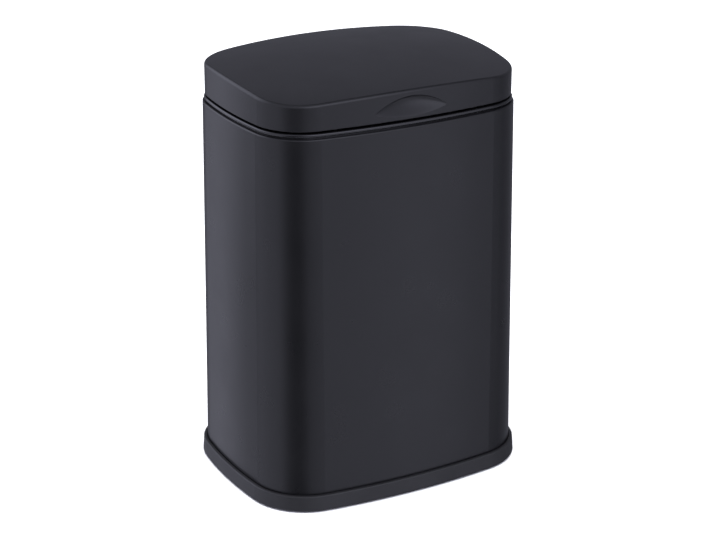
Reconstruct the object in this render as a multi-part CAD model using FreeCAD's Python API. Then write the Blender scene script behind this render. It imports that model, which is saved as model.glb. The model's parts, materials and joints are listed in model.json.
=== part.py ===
import FreeCAD, Part
import math
import os

# A small waste bin: a painted sleeve on a plinth, a lift-out insert with its rim collar and bucket,
# and a crowned lid that hinges on the collar. Millimetres, front towards -Y, floor at zero.

Vector = FreeCAD.Vector
ALONG_X = Vector(1, 0, 0)
ALONG_Y = Vector(0, 1, 0)
ALONG_Z = Vector(0, 0, 1)

# Outline from above, at the sleeve's hem: four shallow arcs joined by tangent corner arcs
body_width = 205.9
body_depth = 154.5
front_radius = 520.0
side_radius = 330.0
corner_radius = 38.3

# Clearances and working values that all pieces share
running_gap = 0.3
seat_gap = 0.05
overrun = 1.0
same_level = 0.01

# Sleeve: sheet that widens towards its foot, with a turned-in hem at the top and a flange at the bottom
body_height = 273.15
body_flare = 3.2
body_wall = 0.8
hem_bend = 0.2
hem_flat = 4.0
foot_bend = 0.7
foot_flange = 14.0

# Plinth ring
plinth_height = 11.7
plinth_proud = 2.7
plinth_draft = 0.8
plinth_wall = 2.6
plinth_gap = 0.4
plinth_top_edge = 1.1
plinth_low_edge = 1.0
seat_height = 4.0
seat_thickness = 2.0
seat_reach = 12.0

# Bottom plate, screws and rubber feet
plate_thickness = 0.8
panel_inset = 30.0
panel_rise = 3.0
panel_edge = 2.0
foot_proud = 0.8
foot_radius = 5.0
foot_inset = 6.2
foot_spacing = 110.0
foot_edge = 0.5
base_screw_radius = 1.5
base_screw_spacing = 50.0
base_screw_inset = 6.5
base_screw_spare = 2.0

# Screw heads, for the two screw sizes
screw_head_height = 1.5
screw_head_rim = 1.5

# Rim collar
groove_height = 0.9
band_height = 2.55
band_inset = 1.1
band_edge = 1.0
neck_setback = 1.9
collar_wall = 2.0
mouth_inset = 9.0
spigot_depth = 15.0
ledge_drop = 8.4
ledge_thickness = 2.0

# Inner bucket
bucket_gap = 0.4
bucket_wall_inset = 12.2
bucket_wall = 1.6
bucket_flange = 1.8
bucket_floor_gap = 3.6
bucket_taper = 4.5
bucket_floor_edge = 8.0

# Lid
lid_gap = 1.4
lid_inset = 1.8
lid_wall = 2.2
lid_height = 29.1
crown_radius_across = 853.0
crown_radius_along = 501.0
crown_peak_back = 17.0
top_edge_radius = 2.2
skirt_edge = 0.5

# Finger scoop in the front of the lid
scoop_width = 58.0
scoop_tip_height = 6.2
scoop_rise = 10.4
scoop_sag = 4.2
scoop_depth = 4.6
scoop_stations = 9
ramp_bulge_share = 0.55
roof_slope_share = 0.4

# Lid liner with its raised middle
liner_thickness = 1.6
liner_gap = 0.3
pan_inset = 27.0
pan_rise = 6.0
pan_edge = 2.0
liner_boss_inset = 16.5
boss_radius = 3.5
lid_screw_radius = 1.2
lid_screw_length = 9.0

# Rubber buffers on the collar
buffer_radius = 1.6
buffer_inset = 7.2
buffer_pocket = 1.0
buffer_front_spacing = 110.0
buffer_side_back = 30.0

# Hinge at the back
pin_radius = 1.25
knuckle_radius = 3.2
knuckle_lift = 0.6
hinge_setback = 2.6
leaf_knuckle_length = 32.0
post_length = 11.0
cap_length = 2.5
cap_wall = 0.9
cap_grip = 1.5
notch_side_gap = 3.0
notch_height = 7.8
leaf_plate_length = 16.0
leaf_plate_setback = 3.5
leaf_plate_width = 52.0
leaf_plate_thickness = 2.4
leaf_plate_lift = 9.0
leaf_web_thickness = 3.6
leaf_boss_spacing = 36.0
leaf_notch_gap = 1.5
post_foot_share = 0.7

# Levels, from the floor up
plinth_z = foot_proud
seat_z = plinth_z + seat_height
hem_z = plinth_z + body_height
band_z = hem_z + groove_height
rim_z = band_z + band_height
ledge_z = rim_z - ledge_drop
skirt_z = rim_z + lid_gap
crown_z = skirt_z + lid_height
floor_z = seat_z + body_wall
panel_top = floor_z + plate_thickness + panel_rise
bucket_depth = ledge_z - panel_top - bucket_floor_gap

# Insets from the hem's outline, shared by pieces that meet. The sleeve's foot lies outside it.
foot_face = -body_flare
hem_outer_bend = hem_bend + body_wall
hem_reach = hem_outer_bend + hem_flat
spigot_inset = hem_reach + running_gap
liner_inset = lid_inset + lid_wall + liner_gap

# Hinge axis, and the half widths of the pieces along it
hinge_y = body_depth / 2 - lid_inset - hinge_setback
hinge_z = rim_z + knuckle_radius + knuckle_lift
leaf_half = leaf_knuckle_length / 2
post_start = leaf_half + running_gap
post_end = post_start + post_length
notch_half = post_end + cap_length + notch_side_gap
leaf_plate_z = skirt_z + leaf_plate_lift
leaf_boss_y = hinge_y - leaf_plate_setback - leaf_plate_length / 2


def corner_centre():
    """Centre of the corner arc that meets both long arcs without a crease."""
    back_y = body_depth / 2 - front_radius
    side_x = body_width / 2 - side_radius
    from_back = front_radius - corner_radius
    from_side = side_radius - corner_radius
    span = math.hypot(side_x, back_y)
    along = (from_back ** 2 - from_side ** 2 + span ** 2) / (2 * span)
    across = math.sqrt(from_back ** 2 - along ** 2)
    step_x = side_x / span
    step_y = -back_y / span
    x = along * step_x + across * step_y
    y = back_y + along * step_y - across * step_x
    return x, y


def arc_edge(centre_x, centre_y, radius, start, end, z):
    """One arc of the outline, from angle start to angle end."""
    points = []
    for angle in (start, (start + end) / 2, end):
        x = centre_x + radius * math.cos(angle)
        y = centre_y + radius * math.sin(angle)
        points.append(Vector(x, y, z))
    return Part.Arc(*points).toShape()


def outline(inset, z):
    """The hem's outline at height z, moved in by inset all round."""
    corner_x, corner_y = corner_centre()
    back_y = body_depth / 2 - front_radius
    side_x = body_width / 2 - side_radius
    back_half = math.atan2(corner_x, corner_y - back_y)
    side_half = math.atan2(corner_y, corner_x - side_x)
    side_size = side_radius - inset
    corner_size = corner_radius - inset
    back_size = front_radius - inset
    quarter = math.pi / 2
    edges = []
    for side, turn in ((1, 0), (-1, math.pi)):
        right = turn + side_half
        top = turn + quarter
        left = turn + math.pi - side_half
        first = (side * corner_x, side * corner_y)
        second = (-side * corner_x, side * corner_y)
        edges.append(arc_edge(side * side_x, 0, side_size, turn - side_half, right, z))
        edges.append(arc_edge(*first, corner_size, right, top - back_half, z))
        edges.append(arc_edge(0, side * back_y, back_size, top - back_half, top + back_half, z))
        edges.append(arc_edge(*second, corner_size, top + back_half, left, z))
    return Part.Wire(edges)


def prism(inset, low, high):
    """A solid of the outline, moved in by inset, from low to high."""
    return Part.Face(outline(inset, low)).extrude(ALONG_Z * (high - low))


def ring(outer_inset, inner_inset, low, high):
    """The wall between two outlines."""
    return prism(outer_inset, low, high).cut(prism(inner_inset, low - overrun, high + overrun))


def tapered(top_inset, bottom_inset, low, high):
    """A solid whose outline changes evenly from bottom to top."""
    return Part.makeLoft([outline(bottom_inset, low), outline(top_inset, high)], True, True)


def rounded(solid, z, radius):
    """The solid with the edges that lie at height z rounded."""
    edges = []
    for edge in solid.Edges:
        box = edge.BoundBox
        if abs(box.ZMin - z) < same_level and abs(box.ZMax - z) < same_level:
            edges.append(edge)
    return solid.makeFillet(radius, edges)


def bar(radius, start, end, direction):
    """A round bar from start along direction to the given end distance."""
    return Part.makeCylinder(radius, end, start, direction)


def block(x_low, x_high, y_low, y_high, z_low, z_high):
    """A box between its corner coordinates."""
    corner = Vector(x_low, y_low, z_low)
    return Part.makeBox(x_high - x_low, y_high - y_low, z_high - z_low, corner)


def side_slab(points, x_low, x_high):
    """An outline in the YZ plane, given as (y, z) points, run from x_low to x_high."""
    corners = [Vector(x_low, y, z) for y, z in points]
    face = Part.Face(Part.makePolygon(corners + corners[:1]))
    return face.extrude(ALONG_X * (x_high - x_low))


def back_y_at(x, inset):
    """How far back the outline's back arc lies at x. The front arc is its mirror."""
    size = front_radius - inset
    return body_depth / 2 - front_radius + math.sqrt(size ** 2 - x ** 2)


def side_x_at(y, inset):
    """How far out the outline's side arc lies at y."""
    size = side_radius - inset
    return body_width / 2 - side_radius + math.sqrt(size ** 2 - y ** 2)


def four_ways(x, y):
    """The same place in all four quarters."""
    return [(side * x, end * y) for side in (1, -1) for end in (1, -1)]


def corner_places(inset):
    """The middle of each corner arc, moved in by inset."""
    x, y = corner_centre()
    reach = (corner_radius - inset) * math.sqrt(0.5)
    return four_ways(x + reach, y + reach)


def fused(solids):
    """All the solids as one, without leftover seams."""
    whole = solids[0]
    for solid in solids[1:]:
        whole = whole.fuse(solid)
    return whole.removeSplitter()


def screw(x, y, under_head, radius, length):
    """A screw that points up, with its head below the level under_head."""
    head_radius = radius + screw_head_rim
    head = bar(head_radius, Vector(x, y, under_head - screw_head_height), screw_head_height, ALONG_Z)
    head = rounded(head, under_head - screw_head_height, screw_head_height / 2)
    shank = bar(radius, Vector(x, y, under_head), length, ALONG_Z)
    return fused([head, shank])


def foot_places():
    x = foot_spacing / 2
    return four_ways(x, back_y_at(x, foot_face + foot_inset))


def base_screw_places():
    y = base_screw_spacing / 2
    return four_ways(side_x_at(y, foot_face + base_screw_inset), y)


def base_screw_holes():
    """The holes that the base screws pass through, as one cutter."""
    holes = []
    for x, y in base_screw_places():
        start = Vector(x, y, plinth_z)
        holes.append(bar(base_screw_radius + seat_gap, start, plinth_height, ALONG_Z))
    return Part.makeCompound(holes)


def make_body_shell():
    foot_outer_bend = foot_bend + body_wall
    outer = tapered(0, foot_face, seat_z, hem_z)
    outer = rounded(outer, hem_z, hem_outer_bend)
    outer = rounded(outer, seat_z, foot_outer_bend)
    inner = tapered(body_wall, foot_face + body_wall, floor_z, hem_z - body_wall)
    inner = rounded(inner, hem_z - body_wall, hem_bend)
    inner = rounded(inner, floor_z, foot_bend)
    mouth = prism(hem_reach, hem_z - hem_outer_bend, hem_z + overrun)
    floor = prism(foot_face + foot_flange, seat_z - overrun, seat_z + foot_outer_bend)
    return outer.cut(inner).cut(mouth).cut(floor).cut(base_screw_holes())


def make_base_plate():
    edge_inset = foot_face + body_wall + foot_bend + seat_gap
    panel_face = foot_face + panel_inset
    top = floor_z + plate_thickness
    panel = prism(panel_face, floor_z, panel_top)
    panel = rounded(panel, panel_top, panel_edge + plate_thickness)
    hollow = prism(panel_face + plate_thickness, floor_z - overrun, panel_top - plate_thickness)
    hollow = rounded(hollow, panel_top - plate_thickness, panel_edge)
    plate = fused([prism(edge_inset, floor_z, top), panel])
    return plate.cut(hollow).cut(base_screw_holes())


def make_base_ring():
    top = plinth_z + plinth_height
    outer_face = foot_face - plinth_proud
    outer = tapered(outer_face, outer_face - plinth_draft, plinth_z, top)
    outer = rounded(outer, top, plinth_top_edge)
    outer = rounded(outer, plinth_z, plinth_low_edge)
    well = prism(foot_face - plinth_gap, seat_z, top + overrun)
    underside = prism(outer_face + plinth_wall, plinth_z - overrun, seat_z - seat_thickness)
    bore = prism(foot_face + seat_reach, plinth_z - overrun, top + overrun)
    return outer.cut(well).cut(underside).cut(bore).cut(base_screw_holes())


def make_base_screws():
    under_head = seat_z - seat_thickness
    length = floor_z + plate_thickness + base_screw_spare - under_head
    places = base_screw_places()
    return Part.makeCompound([screw(x, y, under_head, base_screw_radius, length) for x, y in places])


def make_foot_pads():
    pads = []
    for x, y in foot_places():
        pad = bar(foot_radius, Vector(x, y, 0), seat_z - seat_thickness, ALONG_Z)
        pads.append(rounded(pad, 0, foot_edge))
    return Part.makeCompound(pads)


def buffer_places():
    """Two buffers at the front, two on the sides towards the back."""
    x = buffer_front_spacing / 2
    y = buffer_side_back
    front_y = -back_y_at(x, buffer_inset)
    side_x = side_x_at(y, buffer_inset)
    return [(x, front_y), (-x, front_y), (side_x, y), (-side_x, y)]


def hinge_post(side):
    """The collar's knuckle on one side of the lid's knuckle, on its own foot."""
    x_low = min(side * post_start, side * post_end)
    knuckle = bar(knuckle_radius, Vector(x_low, hinge_y, hinge_z), post_length, ALONG_X)
    half = knuckle_radius * post_foot_share
    foot = block(x_low, x_low + post_length, hinge_y - half, hinge_y + half, band_z, hinge_z)
    return fused([knuckle, foot])


def make_rim_collar():
    inner_inset = spigot_inset + collar_wall
    band = prism(band_inset, band_z, rim_z)
    band = rounded(band, rim_z, band_edge)
    band = rounded(band, band_z, band_edge)
    band = band.cut(prism(mouth_inset, band_z - overrun, rim_z + overrun))
    neck = ring(hem_outer_bend + neck_setback, inner_inset, hem_z, band_z)
    spigot = ring(spigot_inset, inner_inset, hem_z - spigot_depth, band_z)
    ledge = ring(spigot_inset, bucket_wall_inset - bucket_gap, ledge_z - ledge_thickness, ledge_z)
    collar = fused([band, neck, spigot, ledge, hinge_post(1), hinge_post(-1)])
    bore = bar(pin_radius + seat_gap, Vector(-notch_half, hinge_y, hinge_z), 2 * notch_half, ALONG_X)
    collar = collar.cut(bore)
    for x, y in buffer_places():
        start = Vector(x, y, rim_z - buffer_pocket)
        collar = collar.cut(bar(buffer_radius + seat_gap, start, buffer_pocket + overrun, ALONG_Z))
    return collar


def make_rim_buffers():
    buffers = []
    for x, y in buffer_places():
        start = Vector(x, y, rim_z - buffer_pocket)
        buffers.append(bar(buffer_radius, start, buffer_pocket + lid_gap, ALONG_Z))
    return Part.makeCompound(buffers)


def make_inner_bucket():
    top = ledge_z + bucket_flange
    bottom = ledge_z - bucket_depth
    low_inset = bucket_wall_inset + bucket_taper
    outer = tapered(bucket_wall_inset, low_inset, bottom, top)
    outer = rounded(outer, bottom, bucket_floor_edge)
    inner = tapered(bucket_wall_inset + bucket_wall, low_inset + bucket_wall, bottom + bucket_wall, top)
    inner = rounded(inner, bottom + bucket_wall, bucket_floor_edge - bucket_wall)
    flange = prism(mouth_inset + bucket_gap, ledge_z, top)
    return fused([outer, flange]).cut(inner)


def crown(depth):
    """A block whose top is the lid's crown, lowered by depth: an arc along Y swung about an axis."""
    across = crown_radius_across - depth
    along = crown_radius_along - depth
    axis_z = crown_z - crown_radius_across
    half = math.asin((body_width / 2 + overrun) / across)
    reach = body_depth / 2 + overrun
    points = []
    for y in (-reach, crown_peak_back, reach):
        drop = along - math.sqrt(along ** 2 - (y - crown_peak_back) ** 2)
        points.append(Vector(0, y, crown_z - depth - drop))
    low_front = Vector(0, -reach, skirt_z - lid_height)
    low_back = Vector(0, reach, skirt_z - lid_height)
    top = Part.Arc(*points).toShape()
    rest = Part.makePolygon([points[2], low_back, low_front, points[0]])
    face = Part.Face(Part.Wire([top] + rest.Edges))
    hub = Vector(0, 0, axis_z)
    face.rotate(hub, ALONG_Y, -math.degrees(half))
    return face.revolve(hub, ALONG_Y, math.degrees(2 * half))


def lid_form(inset, low, depth):
    """The lid as a full block under its crown."""
    return prism(inset, low, crown_z + overrun).common(crown(depth))


def lid_block():
    """The lid's outside, with its top and bottom edges rounded."""
    form = lid_form(lid_inset, skirt_z, 0)
    middle = skirt_z + lid_height / 2
    form = form.makeFillet(top_edge_radius, [edge for edge in form.Edges if edge.BoundBox.ZMin > middle])
    return rounded(form, skirt_z, skirt_edge)


def scoop_section(x, half, grow):
    """The scoop's outline at x: a sloping roof above, a hollow ramp below."""
    near_tip = 1 - (x / half) ** 2
    tip_z = skirt_z + scoop_tip_height
    face_y = -back_y_at(x, lid_inset)
    top_z = tip_z + (scoop_rise + grow) * near_tip
    low_z = tip_z - (scoop_sag + grow) * near_tip
    deep_y = face_y + (scoop_depth + grow) * math.sqrt(near_tip)
    deep_z = top_z - (deep_y - face_y) * roof_slope_share
    front_y = face_y - overrun
    bulge_y = face_y + (deep_y - face_y) * ramp_bulge_share
    low_front = Vector(x, front_y, low_z)
    low = Vector(x, face_y, low_z)
    deep = Vector(x, deep_y, deep_z)
    top_front = Vector(x, front_y, top_z + overrun * roof_slope_share)
    ramp = Part.Arc(low, Vector(x, bulge_y, (low_z + deep_z) / 2), deep).toShape()
    roof = Part.makeLine(deep, top_front)
    front = Part.makeLine(top_front, low_front)
    lip = Part.makeLine(low_front, low)
    return Part.Wire([ramp, roof, front, lip])


def scoop_form(grow):
    """The hollow that fingertips reach into, made larger all round by grow."""
    half = scoop_width / 2 + grow
    sections = []
    for step in range(1, scoop_stations + 1):
        angle = math.pi * (step / (scoop_stations + 1))
        sections.append(scoop_section(half * math.cos(angle), half, grow))
    return Part.makeLoft(sections, True, False)


def leaf_boss_places():
    return [(side * leaf_boss_spacing / 2, leaf_boss_y) for side in (1, -1)]


def lid_boss(x, y, low, form):
    """A screw boss that hangs from the inside of the lid's top."""
    boss = bar(boss_radius, Vector(x, y, low), lid_height, ALONG_Z).common(form)
    return boss.cut(bar(lid_screw_radius + seat_gap, Vector(x, y, low), lid_screw_length, ALONG_Z))


def make_lid_shell():
    outer = lid_block()
    inner = lid_form(lid_inset + lid_wall, skirt_z - overrun, lid_wall)
    pieces = [outer.cut(inner), scoop_form(lid_wall).common(outer)]
    for x, y in corner_places(liner_boss_inset):
        pieces.append(lid_boss(x, y, skirt_z + liner_thickness, outer))
    for x, y in leaf_boss_places():
        pieces.append(lid_boss(x, y, leaf_plate_z + leaf_plate_thickness, outer))
    shell = fused(pieces).cut(scoop_form(0))
    notch_top = skirt_z + notch_height
    notch = block(-notch_half, notch_half, leaf_boss_y, body_depth, skirt_z - overrun, notch_top)
    return shell.cut(notch)


def make_lid_liner():
    top = skirt_z + liner_thickness
    rim = prism(liner_inset, skirt_z, top)
    pan = prism(pan_inset, skirt_z, top + pan_rise)
    pan = rounded(pan, top + pan_rise, pan_edge + liner_thickness)
    hollow = prism(pan_inset + liner_thickness, skirt_z - overrun, top + pan_rise - liner_thickness)
    hollow = rounded(hollow, top + pan_rise - liner_thickness, pan_edge)
    liner = fused([rim, pan]).cut(hollow).cut(scoop_form(lid_wall + liner_gap))
    notch_front = hinge_y - leaf_plate_setback - leaf_plate_length - leaf_notch_gap
    notch = block(-notch_half, notch_half, notch_front, body_depth, skirt_z - overrun, crown_z)
    liner = liner.cut(notch)
    for x, y in corner_places(liner_boss_inset):
        start = Vector(x, y, skirt_z - overrun)
        liner = liner.cut(bar(lid_screw_radius + seat_gap, start, liner_thickness + 2 * overrun, ALONG_Z))
    return liner


def make_liner_screws():
    places = corner_places(liner_boss_inset)
    return Part.makeCompound([screw(x, y, skirt_z, lid_screw_radius, lid_screw_length) for x, y in places])


def make_hinge_leaf():
    back = hinge_y - leaf_plate_setback
    top = leaf_plate_z + leaf_plate_thickness
    half = leaf_plate_width / 2
    plate = block(-half, half, back - leaf_plate_length, back, leaf_plate_z, top)
    start = Vector(0, back - leaf_plate_thickness, leaf_plate_z + leaf_plate_thickness / 2)
    end = Vector(0, hinge_y, hinge_z)
    along = end - start
    side = Vector(0, along.z, -along.y).normalize() * (leaf_web_thickness / 2)
    corners = [start + side, start - side, end - side, end + side]
    web = side_slab([(corner.y, corner.z) for corner in corners], -leaf_half, leaf_half)
    knuckle = bar(knuckle_radius, Vector(-leaf_half, hinge_y, hinge_z), leaf_knuckle_length, ALONG_X)
    leaf = fused([plate, web, knuckle])
    leaf = leaf.cut(bar(pin_radius + seat_gap, Vector(-leaf_half, hinge_y, hinge_z), leaf_knuckle_length, ALONG_X))
    for x, y in leaf_boss_places():
        start = Vector(x, y, leaf_plate_z - overrun)
        leaf = leaf.cut(bar(lid_screw_radius + seat_gap, start, leaf_plate_thickness + 2 * overrun, ALONG_Z))
    return leaf


def make_leaf_screws():
    places = leaf_boss_places()
    return Part.makeCompound([screw(x, y, leaf_plate_z, lid_screw_radius, lid_screw_length) for x, y in places])


def make_hinge_pin():
    half = post_end + cap_grip
    return bar(pin_radius, Vector(-half, hinge_y, hinge_z), 2 * half, ALONG_X)


def make_pin_caps():
    caps = []
    for side in (1, -1):
        start = Vector(side * post_end, hinge_y, hinge_z)
        outer = bar(pin_radius + cap_wall, start, cap_length, ALONG_X * side)
        caps.append(outer.cut(bar(pin_radius + seat_gap, start, cap_grip, ALONG_X * side)))
    return Part.makeCompound(caps)


NODES = {
    "body_shell": make_body_shell,
    "base_plate": make_base_plate,
    "base_ring": make_base_ring,
    "base_screws": make_base_screws,
    "foot_pads": make_foot_pads,
    "rim_collar": make_rim_collar,
    "rim_buffers": make_rim_buffers,
    "inner_bucket": make_inner_bucket,
    "hinge_pin": make_hinge_pin,
    "pin_caps": make_pin_caps,
    "lid_shell": make_lid_shell,
    "lid_liner": make_lid_liner,
    "liner_screws": make_liner_screws,
    "hinge_leaf": make_hinge_leaf,
    "leaf_screws": make_leaf_screws,
}

os.makedirs("parts", exist_ok=True)
for node, make in NODES.items():
    shape = make()
    shape.exportStep("parts/" + node + ".step")
    box = shape.BoundBox
    print(node, len(shape.Solids), shape.isValid(), round(shape.Volume), box)
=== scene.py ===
import json
import math

import bmesh
import bpy
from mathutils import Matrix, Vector


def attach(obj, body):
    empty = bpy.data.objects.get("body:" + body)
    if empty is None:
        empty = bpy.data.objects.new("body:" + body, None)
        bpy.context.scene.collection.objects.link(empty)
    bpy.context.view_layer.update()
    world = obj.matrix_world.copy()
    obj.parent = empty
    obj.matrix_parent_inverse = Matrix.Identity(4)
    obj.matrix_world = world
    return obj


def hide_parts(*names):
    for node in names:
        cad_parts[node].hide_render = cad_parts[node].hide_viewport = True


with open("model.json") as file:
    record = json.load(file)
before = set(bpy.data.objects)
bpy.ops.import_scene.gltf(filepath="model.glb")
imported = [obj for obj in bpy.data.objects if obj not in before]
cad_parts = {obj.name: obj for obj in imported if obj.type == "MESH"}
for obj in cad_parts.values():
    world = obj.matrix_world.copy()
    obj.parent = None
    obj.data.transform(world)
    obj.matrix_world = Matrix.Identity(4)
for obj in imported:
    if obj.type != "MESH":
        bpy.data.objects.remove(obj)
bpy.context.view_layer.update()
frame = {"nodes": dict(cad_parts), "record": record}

# Lengths are in metres and angles in degrees.

# Photograph's frame and camera
IMAGE_WIDTH_PX = 716
FOCAL_LENGTH_PX = 2037.8
SENSOR_WIDTH_MM = 36.0
CAMERA_AZIMUTH = -28.84
CAMERA_ELEVATION = 21.28
CAMERA_DISTANCE = 1.4873
CAMERA_TARGET_HEIGHT = 0.1435

# The front of the lid's skirt and the finger scoop's outline in it, as constructed
SKIRT_FRONT = -0.07545
SKIRT_RADIUS = 0.5182
SCOOP_HALF_WIDTH = 0.029
SCOOP_TIP_HEIGHT = 0.2850
SCOOP_RISE = 0.0104
SCOOP_SAG = 0.0042

# The dish in that outline: its depth, and how fast the ramp, the roof and the tips take it up
DISH_DEPTH = 0.0048
RAMP_POWER = 1.15
ROOF_POWER = 0.38
TIP_POWER = 1.3
DISH_CUTS = 3

# What tells the constructed scoop's faces from the rest of the lid: the depths at which they lie, and the
# most that their normals point backwards
SCOOP_LEAST = 0.00002
SCOOP_MOST = 0.0058
SIDEWAYS = 0.02
# The share of the scoop's height that counts as its rim, and the distance at which corners are one
RIM_SHARE = 0.001
SAME_PLACE = 1e-7

# Surfaces: sizes of the patches of tone and sheen, the noise levels between which tone changes, and the
# strengths of the broad and the fine bump
TONE_PATCH = 0.045
SHEEN_PATCH = 0.03
TONE_START = 0.35
TONE_END = 0.65
PEEL_STRENGTH = 0.6
GRAIN_STRENGTH = 0.8
BLACK = (0.005, 0.005, 0.006)

# Studio
FLOOR_SIZE = 12.0
FLOOR_ALBEDO = 0.92
FLOOR_DARKER = 0.995
FLOOR_PATCH = 0.5
FLOOR_ROUGHNESS = 0.9
OVERHEAD_SIZE = 3.0
OVERHEAD_HEIGHT = 2.6
OVERHEAD_POWER = 150.0
ROOM_TINT = (0.94, 0.95, 1.15, 1.0)
ROOM_LEVEL = 0.66
ROOM_LEAST = 0.0
# Soft panels around the object, as (azimuth, elevation, half angle, softness of the edge, level added)
ROOM_PANELS = (
    (120.0, -1.0, 73.0, 9.0, -0.48),
    (26.0, -21.0, 18.0, 10.0, 0.08),
    (39.0, -21.0, 8.0, 6.0, 0.17),
    (47.0, -21.0, 5.0, 4.0, -0.26),
    (58.0, -21.0, 8.0, 6.0, 0.20),
    (-46.0, -21.0, 20.0, 10.0, -0.36),
    (-24.0, -21.0, 28.0, 20.0, -0.27),
    (-134.0, -21.0, 12.0, 10.0, -0.07),
    (-141.0, -21.0, 6.0, 5.0, -0.36),
    (-158.0, -21.0, 10.0, 8.0, 0.09),
    (3.0, 23.0, 24.0, 8.0, 1.15),
    (150.0, 48.0, 16.0, 14.0, 0.08),
    (-140.0, 20.0, 25.0, 15.0, 0.80),
    (0.0, 90.0, 40.0, 12.0, -0.42),
    (57.0, -57.0, 26.0, 8.0, -0.60),
    (-15.0, -60.0, 20.0, 10.0, 0.50),
)


def direction(azimuth, elevation):
    """Unit vector from the object towards a place at that azimuth and elevation."""
    turn = math.radians(azimuth)
    rise = math.radians(elevation)
    level = math.cos(rise)
    return Vector((math.sin(turn) * level, -math.cos(turn) * level, math.sin(rise)))


def blank_material(name):
    """A new node material, with its node tree and shader."""
    material = bpy.data.materials.new(name)
    material.use_nodes = True
    return material, material.node_tree, material.node_tree.nodes["Principled BSDF"]


def noise(tree, size, detail=3.0, roughness=0.55):
    """Noise in the object's own coordinates, with features of about that size."""
    place = tree.nodes.new("ShaderNodeTexCoord")
    texture = tree.nodes.new("ShaderNodeTexNoise")
    texture.inputs["Scale"].default_value = 1.0 / size
    texture.inputs["Detail"].default_value = detail
    texture.inputs["Roughness"].default_value = roughness
    tree.links.new(place.outputs["Object"], texture.inputs["Vector"])
    return texture.outputs["Fac"]


def ranged(tree, value, low, high, start=0.3, end=0.7):
    """Low to high as the value goes from start to end."""
    spread = tree.nodes.new("ShaderNodeMapRange")
    spread.inputs["From Min"].default_value = start
    spread.inputs["From Max"].default_value = end
    spread.inputs["To Min"].default_value = low
    spread.inputs["To Max"].default_value = high
    tree.links.new(value, spread.inputs["Value"])
    return spread.outputs["Result"]


def bump(tree, height, depth, strength, before=None):
    """A bump of that depth, on top of an earlier one if there is one."""
    node = tree.nodes.new("ShaderNodeBump")
    node.inputs["Distance"].default_value = depth
    node.inputs["Strength"].default_value = strength
    tree.links.new(height, node.inputs["Height"])
    if before is not None:
        tree.links.new(before, node.inputs["Normal"])
    return node.outputs["Normal"]


def mottled(tree, shader, dark, light, size):
    """Base colour that drifts between two close tones."""
    ramp = tree.nodes.new("ShaderNodeValToRGB")
    first, last = ramp.color_ramp.elements
    first.position = TONE_START
    last.position = TONE_END
    first.color = (*dark, 1.0)
    last.color = (*light, 1.0)
    tree.links.new(noise(tree, size, detail=4.0), ramp.inputs["Fac"])
    tree.links.new(ramp.outputs["Color"], shader.inputs["Base Color"])


def surface(name, tone, spread, rough, grain, peel, specular=0.5):
    """A painted or moulded surface: its tone and how far that drifts, its roughness range, and the size and
    depth of its fine grain and of its broad unevenness."""
    material, tree, shader = blank_material(name)
    dark = [channel * (1.0 - spread) for channel in tone]
    light = [channel * (1.0 + spread) for channel in tone]
    mottled(tree, shader, dark, light, TONE_PATCH)
    tree.links.new(ranged(tree, noise(tree, SHEEN_PATCH), *rough), shader.inputs["Roughness"])
    grain_size, grain_depth = grain
    peel_size, peel_depth = peel
    broad = bump(tree, noise(tree, peel_size, detail=2.0), peel_depth, PEEL_STRENGTH)
    fine = bump(tree, noise(tree, grain_size, detail=2.0), grain_depth, GRAIN_STRENGTH, broad)
    tree.links.new(fine, shader.inputs["Normal"])
    shader.inputs["Specular IOR Level"].default_value = specular
    return material


def plated_steel(name):
    """Zinc-plated steel with a fine bloom."""
    material, tree, shader = blank_material(name)
    mottled(tree, shader, dark=(0.42, 0.42, 0.44), light=(0.58, 0.58, 0.6), size=0.002)
    sheen = ranged(tree, noise(tree, size=0.0012), low=0.25, high=0.42)
    tree.links.new(sheen, shader.inputs["Roughness"])
    relief = bump(tree, noise(tree, size=0.0004), depth=0.00002, strength=0.5)
    tree.links.new(relief, shader.inputs["Normal"])
    shader.inputs["Metallic"].default_value = 1.0
    return material


def materials():
    """The material of each slot in the record."""
    return {
        "body_paint": surface(
            "matt_black_paint", tone=BLACK, spread=0.06, rough=(0.27, 0.31),
            grain=(0.0004, 0.000004), peel=(0.003, 0.000004)),
        "lid_plastic": surface(
            "matt_black_lid", tone=(0.0072, 0.0072, 0.0085), spread=0.06, rough=(0.29, 0.33),
            grain=(0.0004, 0.000005), peel=(0.004, 0.000004), specular=0.44),
        "collar_plastic": surface(
            "satin_black_collar", tone=BLACK, spread=0.08, rough=(0.16, 0.22),
            grain=(0.0005, 0.000004), peel=(0.004, 0.000004), specular=0.7),
        "plinth_plastic": surface(
            "grained_plinth", tone=(0.0125, 0.0125, 0.014), spread=0.12, rough=(0.44, 0.52),
            grain=(0.0008, 0.00003), peel=(0.005, 0.00001)),
        "bucket_plastic": surface(
            "bucket_grey", tone=(0.055, 0.056, 0.06), spread=0.05, rough=(0.38, 0.46),
            grain=(0.0006, 0.00001), peel=(0.006, 0.00002)),
        "liner_plastic": surface(
            "liner_black", tone=(0.02, 0.02, 0.022), spread=0.08, rough=(0.40, 0.50),
            grain=(0.0006, 0.00001), peel=(0.006, 0.00002)),
        "plate_steel": surface(
            "plate_paint", tone=BLACK, spread=0.08, rough=(0.42, 0.52),
            grain=(0.0005, 0.00001), peel=(0.003, 0.00001)),
        "screw_steel": plated_steel("plated_screw"),
        "rubber": surface(
            "rubber_black", tone=(0.02, 0.02, 0.02), spread=0.1, rough=(0.7, 0.8),
            grain=(0.0006, 0.00002), peel=(0.003, 0.00001), specular=0.3),
    }


def dress():
    """Gives every node the material of its slot."""
    looks = materials()
    for part in frame["record"]["subparts"]:
        node = frame["nodes"][part["node"]]
        node.data.materials.clear()
        node.data.materials.append(looks[part["material_slot"]])


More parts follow.
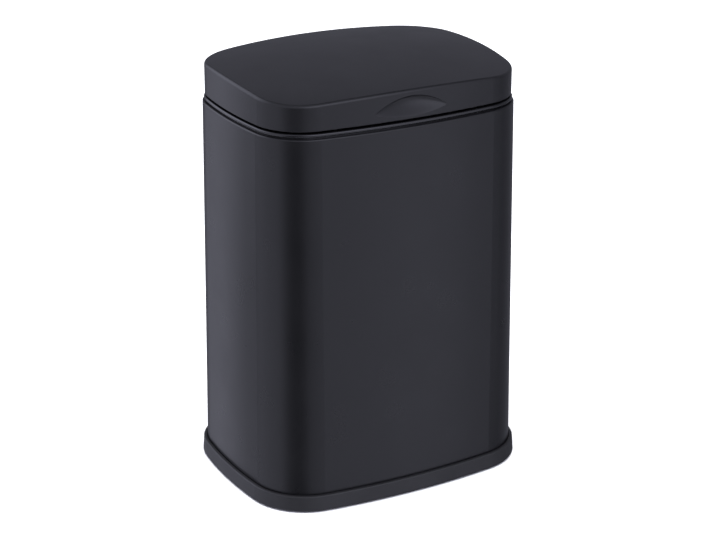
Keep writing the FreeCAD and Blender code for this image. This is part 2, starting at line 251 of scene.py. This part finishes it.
def skirt_face(x):
    """Where the front of the lid's skirt is at x."""
    return SKIRT_FRONT + SKIRT_RADIUS - math.sqrt(SKIRT_RADIUS ** 2 - x ** 2)


def scoop_place(x, z):
    """Place in the scoop's outline: 1 to 0 from its middle to its tips, and 0 to 1 from its foot to its top."""
    near_tip = max(1.0 - (x / SCOOP_HALF_WIDTH) ** 2, SAME_PLACE)
    foot = SCOOP_TIP_HEIGHT - SCOOP_SAG * near_tip
    return near_tip, (z - foot) / ((SCOOP_RISE + SCOOP_SAG) * near_tip)


def dish_depth(x, z):
    """Depth of the dish: none at its rim, most under its top."""
    near_tip, share = scoop_place(x, z)
    if not RIM_SHARE < share < 1.0 - RIM_SHARE:
        return 0.0
    peak = RAMP_POWER / (RAMP_POWER + ROOF_POWER)
    ramp = (share / peak) ** RAMP_POWER
    roof = ((1.0 - share) / (1.0 - peak)) ** ROOF_POWER
    return DISH_DEPTH * near_tip ** TIP_POWER * ramp * roof


def in_scoop(face):
    """Whether a face of the constructed lid is one of the scoop's."""
    middle = face.calc_center_median()
    depth = middle.y - skirt_face(middle.x)
    inside = 0.0 < scoop_place(middle.x, middle.z)[1] < 1.0
    return inside and face.normal.y < SIDEWAYS and SCOOP_LEAST < depth < SCOOP_MOST


def press(form, dished, amount):
    """Moves the scoop's corners to that share of the dish's depth, but for those on its rim."""
    for corner in form.verts:
        depth = dish_depth(corner.co.x, corner.co.z)
        if depth > 0.0 and any(face[dished] for face in corner.link_faces):
            corner.co.y = skirt_face(corner.co.x) + depth * amount


def make_lid_skin():
    """The lid with its scoop dished all ways, where the construction has a plain ramp under a roof."""
    node = frame["nodes"]["lid_shell"]
    skin = bpy.data.objects.new("lid_skin", node.data.copy())
    bpy.context.collection.objects.link(skin)
    form = bmesh.new()
    form.from_mesh(node.data)
    kept = form.loops.layers.float_vector.new("kept_normal")
    dished = form.faces.layers.int.new("dished")
    loops = (loop for face in form.faces for loop in face.loops)
    for normal, loop in zip(node.data.corner_normals, loops):
        loop[kept] = normal.vector
    for face in form.faces:
        face[dished] = in_scoop(face)

    # The scoop is joined up and laid flat, cut finer inside its rim, and then pressed in.
    corners = [corner for corner in form.verts if any(face[dished] for face in corner.link_faces)]
    bmesh.ops.remove_doubles(form, verts=corners, dist=SAME_PLACE)
    press(form, dished, amount=0.0)
    inner = [edge for edge in form.edges if sum(face[dished] for face in edge.link_faces) == 2]
    for edge in inner:
        edge.smooth = True
    bmesh.ops.subdivide_edges(form, edges=inner, cuts=DISH_CUTS, use_grid_fill=True)
    bmesh.ops.triangulate(form, faces=[face for face in form.faces if face[dished]])
    press(form, dished, amount=1.0)

    # A zero normal is one that the mesh works out for itself. The rest of the lid keeps its own.
    for face in form.faces:
        if face[dished]:
            face.smooth = True
            for loop in face.loops:
                loop[kept] = (0.0, 0.0, 0.0)
    form.to_mesh(skin.data)
    form.free()
    normals = [tuple(corner.vector) for corner in skin.data.attributes["kept_normal"].data]
    for name in ("kept_normal", "dished"):
        skin.data.attributes.remove(skin.data.attributes[name])
    skin.data.normals_split_custom_set(normals)
    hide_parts("lid_shell")
    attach(skin, "lid")


def make_floor():
    """A plain pale floor."""
    bpy.ops.mesh.primitive_plane_add(size=FLOOR_SIZE)
    floor = bpy.context.object
    floor.name = "floor"
    material, tree, shader = blank_material("pale_floor")
    shader.inputs["Roughness"].default_value = FLOOR_ROUGHNESS
    shader.inputs["Specular IOR Level"].default_value = 0.0
    tone = (FLOOR_ALBEDO,) * 3
    darker = (FLOOR_ALBEDO * FLOOR_DARKER,) * 3
    mottled(tree, shader, darker, tone, FLOOR_PATCH)
    floor.data.materials.append(material)
    floor.visible_glossy = False


def make_overhead():
    """A large soft light over the object."""
    light = bpy.data.lights.new("overhead", "AREA")
    light.size = OVERHEAD_SIZE
    light.energy = OVERHEAD_POWER
    holder = bpy.data.objects.new("overhead", light)
    holder.location = (0.0, 0.0, OVERHEAD_HEIGHT)
    holder.visible_glossy = False
    bpy.context.collection.objects.link(holder)


def panel_light(tree, place, azimuth, elevation, half_angle, soft, strength):
    """What one panel adds to the room's level."""
    facing = tree.nodes.new("ShaderNodeVectorMath")
    facing.operation = "DOT_PRODUCT"
    facing.inputs[1].default_value = direction(azimuth, elevation)
    tree.links.new(place.outputs["Generated"], facing.inputs[0])
    panel = tree.nodes.new("ShaderNodeMapRange")
    panel.interpolation_type = "SMOOTHSTEP"
    panel.inputs["From Min"].default_value = math.cos(math.radians(half_angle + soft))
    panel.inputs["From Max"].default_value = math.cos(math.radians(half_angle - soft))
    panel.inputs["To Min"].default_value = 0.0
    panel.inputs["To Max"].default_value = strength
    tree.links.new(facing.outputs["Value"], panel.inputs["Value"])
    return panel.outputs["Result"]


def make_room():
    """Soft studio surroundings: an even room with paler and darker panels round the object."""
    world = bpy.data.worlds.new("studio")
    bpy.context.scene.world = world
    world.use_nodes = True
    tree = world.node_tree
    place = tree.nodes.new("ShaderNodeTexCoord")
    level = None
    for settings in ROOM_PANELS:
        total = tree.nodes.new("ShaderNodeMath")
        total.operation = "ADD"
        tree.links.new(panel_light(tree, place, *settings), total.inputs[0])
        if level is None:
            total.inputs[1].default_value = ROOM_LEVEL
        else:
            tree.links.new(level, total.inputs[1])
        level = total.outputs["Value"]
    least = tree.nodes.new("ShaderNodeMath")
    least.operation = "MAXIMUM"
    least.inputs[1].default_value = ROOM_LEAST
    tree.links.new(level, least.inputs[0])
    background = tree.nodes["Background"]
    tree.links.new(least.outputs["Value"], background.inputs["Strength"])
    background.inputs["Color"].default_value = ROOM_TINT


def make_camera():
    """The photograph's view."""
    lens = bpy.data.cameras.new("camera")
    lens.sensor_width = SENSOR_WIDTH_MM
    lens.lens = SENSOR_WIDTH_MM * FOCAL_LENGTH_PX / IMAGE_WIDTH_PX
    camera = bpy.data.objects.new("camera", lens)
    back = direction(CAMERA_AZIMUTH, CAMERA_ELEVATION)
    camera.location = Vector((0.0, 0.0, CAMERA_TARGET_HEIGHT)) + back * CAMERA_DISTANCE
    camera.rotation_euler = (-back).to_track_quat("-Z", "Y").to_euler()
    bpy.context.collection.objects.link(camera)
    bpy.context.scene.camera = camera


bpy.context.scene.view_settings.view_transform = "Standard"
dress()
make_lid_skin()
make_floor()
make_overhead()
make_room()
make_camera()
